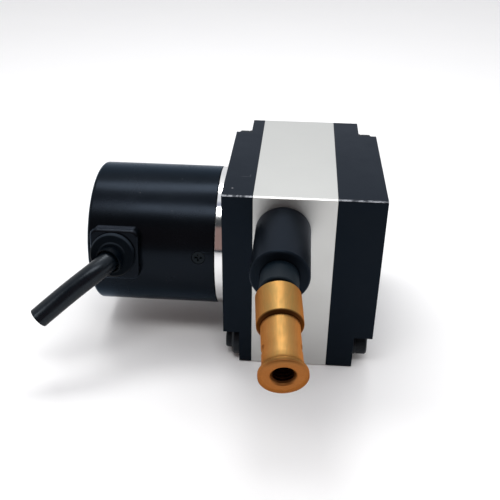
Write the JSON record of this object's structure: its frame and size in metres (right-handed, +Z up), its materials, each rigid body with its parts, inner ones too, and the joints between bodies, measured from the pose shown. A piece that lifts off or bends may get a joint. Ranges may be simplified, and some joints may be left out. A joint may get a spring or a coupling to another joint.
{
  "type": "draw wire encoder",
  "caption": "Square draw wire displacement sensor: spring-wound wire drum in a three-part housing, wire nozzle with a gold end fitting, and a round encoder with a cut cable.",
  "frame": {"origin": "middle of the housing's bottom face, level with the middle body's mid-plane", "axes": "+X along the drum's axis away from the encoder, -Y the way the wire leaves, +Z up"},
  "size_m": [0.0866, 0.0988, 0.05],
  "materials": {
    "black_anodised": "bead-blasted, black anodised",
    "silver_anodised": "fine satin, clear anodised",
    "black_screw": "black oxide",
    "black_bush": "turned, matt black",
    "ceramic": "polished ceramic",
    "felt": "dense felt",
    "steel": "machined steel",
    "spring_steel": "blued spring steel",
    "plain_plastic": "natural plastic",
    "turned_aluminium": "turned",
    "bright_flange": "turned and polished",
    "dark_plastic": "moulded",
    "board_green": "solder mask",
    "brass": "turned",
    "cover_black": "fine satin, black",
    "cover_screw_black": "black oxide",
    "grommet_rubber": "moulded, matt black",
    "cable_jacket": "smooth black jacket",
    "core_insulation": "coloured core insulation",
    "wire_steel": "stranded stainless wire",
    "glass": "clear, chrome tracks",
    "gold_anodised": "turned, satin gold"
  },
  "bodies": {
    "housing": {"encoder_plate": "black_anodised", "body_frame": "silver_anodised", "spring_cover": "black_anodised", "encoder_plate_screws": "black_screw", "spring_cover_screws": "black_screw", "screw_lock_washers": "black_screw", "screw_collar": "black_screw", "wire_nozzle": "black_anodised", "outlet_bush": "black_bush", "wire_eyelet": "ceramic", "wiper_felt": "felt", "left_bearing_outer": "steel", "left_bearing_balls": "steel", "right_bearing_outer": "steel", "right_bearing_balls": "steel", "mainspring": "spring_steel", "spring_partition": "plain_plastic", "spring_barrel": "turned_aluminium", "encoder_flange": "bright_flange", "flange_screws": "steel", "encoder_bearing_outers": "steel", "encoder_bearing_balls": "steel", "optical_head": "dark_plastic", "encoder_board": "board_green", "board_standoffs": "brass", "board_screws": "steel", "encoder_cover": "cover_black", "cover_screws": "cover_screw_black", "cable_grommet": "grommet_rubber", "signal_cable": "cable_jacket", "cable_cores": "core_insulation"},
    "drum_body": {"drum": "turned_aluminium", "drum_shaft": "steel", "drum_set_screw": "steel", "retaining_ring": "steel", "left_bearing_inner": "steel", "right_bearing_inner": "steel", "spring_arbor": "steel", "arbor_pin": "steel", "wound_wire": "wire_steel", "encoder_shaft": "steel", "encoder_bearing_inners": "steel", "disc_hub": "steel", "code_disc": "glass"},
    "wire_end": {"measuring_wire": "wire_steel", "wire_ferrule": "brass"},
    "fitting": {"end_fitting": "gold_anodised"}
  },
  "joints": [
    {"name": "drum_spin", "type": "hinge", "parent": "housing", "child": "drum_body", "pos_m": [0, 0, 0.025], "axis": [1, 0, 0], "range_deg": [0, 3600], "stiffness_Nm_per_rad": 0.0005, "springref_deg": -5729.58, "deforming": ["mainspring"]},
    {"name": "wire_pull", "type": "slide", "parent": "housing", "child": "wire_end", "axis": [0, -1, 0], "range_m": [0, 1], "deforming": ["measuring_wire"]},
    {"name": "fitting_swivel", "type": "hinge", "parent": "wire_end", "child": "fitting", "pos_m": [-0.0026, -0.0523, 0.04092], "axis": [0.0911, -0.9825, -0.1626], "continuous": true}
  ],
  "couplings": [
    {"joint": "wire_pull", "follows": "drum_spin", "m_per_rad": 0.015915}
  ]
}
